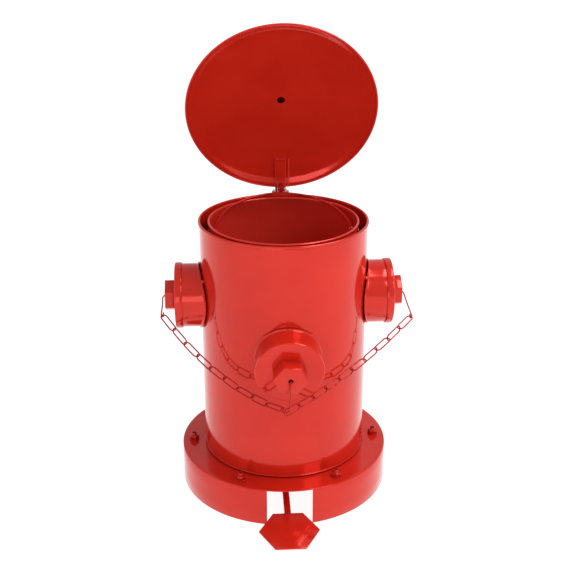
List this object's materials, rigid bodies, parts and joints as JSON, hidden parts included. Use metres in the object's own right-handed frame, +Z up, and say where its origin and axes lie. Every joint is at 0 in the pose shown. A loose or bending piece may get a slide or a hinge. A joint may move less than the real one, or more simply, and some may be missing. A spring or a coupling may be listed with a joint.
{
  "type": "pedal bin",
  "caption": "Hydrant-shaped pedal bin for dog waste with a domed lid on a rear hinge, a lift-out bucket, three capped outlets and swagged chain.",
  "frame": {"origin": "on the floor, under the middle of the round base and of the body", "axes": "+Z up along the body's axis, -Y towards the pedal and the front outlet, +X to the right of someone who faces the pedal side"},
  "size_m": [0.3918, 0.4022, 0.7155],
  "materials": {
    "red_paint": "gloss",
    "painted_wire": "gloss",
    "plain_steel": "satin"
  },
  "bodies": {
    "base": {"base_skirt": "red_paint", "base_plate": "red_paint", "base_bolts": "red_paint", "base_washers": "red_paint", "base_nuts": "red_paint", "floor_spacers": "red_paint", "floor_screws": "plain_steel", "floor_nuts": "plain_steel", "body_shell": "red_paint", "body_floor": "red_paint", "left_outlet": "red_paint", "right_outlet": "red_paint", "front_outlet": "red_paint", "left_cap": "red_paint", "right_cap": "red_paint", "front_cap": "red_paint", "left_nut": "red_paint", "right_nut": "red_paint", "front_nut": "red_paint", "outlet_welds": "red_paint", "left_hook": "painted_wire", "right_hook": "painted_wire", "front_hook": "painted_wire", "hinge_bracket": "red_paint", "hinge_pin": "red_paint", "rod_guides": "red_paint", "lever_bracket": "red_paint", "lever_pin": "plain_steel"},
    "lid": {"lid_dome": "red_paint", "lid_knob": "red_paint", "lid_strap": "red_paint", "lid_crank": "red_paint", "crank_pin": "plain_steel"},
    "rod": {"push_rod": "red_paint", "rod_foot": "red_paint"},
    "lever": {"lever_arm": "red_paint", "lever_pad": "red_paint", "pedal_plate": "red_paint"},
    "bucket": {"bucket_wall": "red_paint", "bucket_floor": "red_paint", "bucket_ears": "red_paint", "ear_rivets": "plain_steel"},
    "bail": {"bail_handle": "red_paint"},
    "chain_left": {"left_chain": "painted_wire"},
    "chain_right": {"right_chain": "painted_wire"}
  },
  "joints": [
    {"name": "lid_hinge", "type": "hinge", "parent": "base", "child": "lid", "pos_m": [0.004, 0.1575, 0.42671], "axis": [-1, 0, 0], "range_deg": [-69.7, 0]},
    {"name": "rod_slide", "type": "slide", "parent": "base", "child": "rod", "axis": [0, 0, 1], "range_m": [-0.0252, 0]},
    {"name": "lever_hinge", "type": "hinge", "parent": "base", "child": "lever", "pos_m": [-0.003, -0.04, 0.023], "axis": [1, 0, 0], "range_deg": [-8.2, 0]},
    {"name": "bucket_lift", "type": "slide", "parent": "base", "child": "bucket", "axis": [0, 0, 1], "range_m": [0, 0.15]},
    {"name": "bail_hinge", "type": "hinge", "parent": "bucket", "child": "bail", "pos_m": [0, 0, 0.415], "axis": [1, 0, 0], "range_deg": [0, 153]},
    {"name": "chain_left_swing", "type": "hinge", "parent": "base", "child": "chain_left", "pos_m": [-0.1865, -0.026, 0.292], "axis": [0.6946, -0.6423, -0.324], "range_deg": [-6, 6]},
    {"name": "chain_right_swing", "type": "hinge", "parent": "base", "child": "chain_right", "pos_m": [-0.00932, -0.18825, 0.20499], "axis": [0.7356, 0.635, 0.236], "range_deg": [-6, 6]}
  ],
  "couplings": [
    {"joint": "rod_slide", "follows": "lid_hinge", "m_per_rad": 0.020668},
    {"joint": "lever_hinge", "follows": "lid_hinge", "ratio": 0.11621}
  ]
}
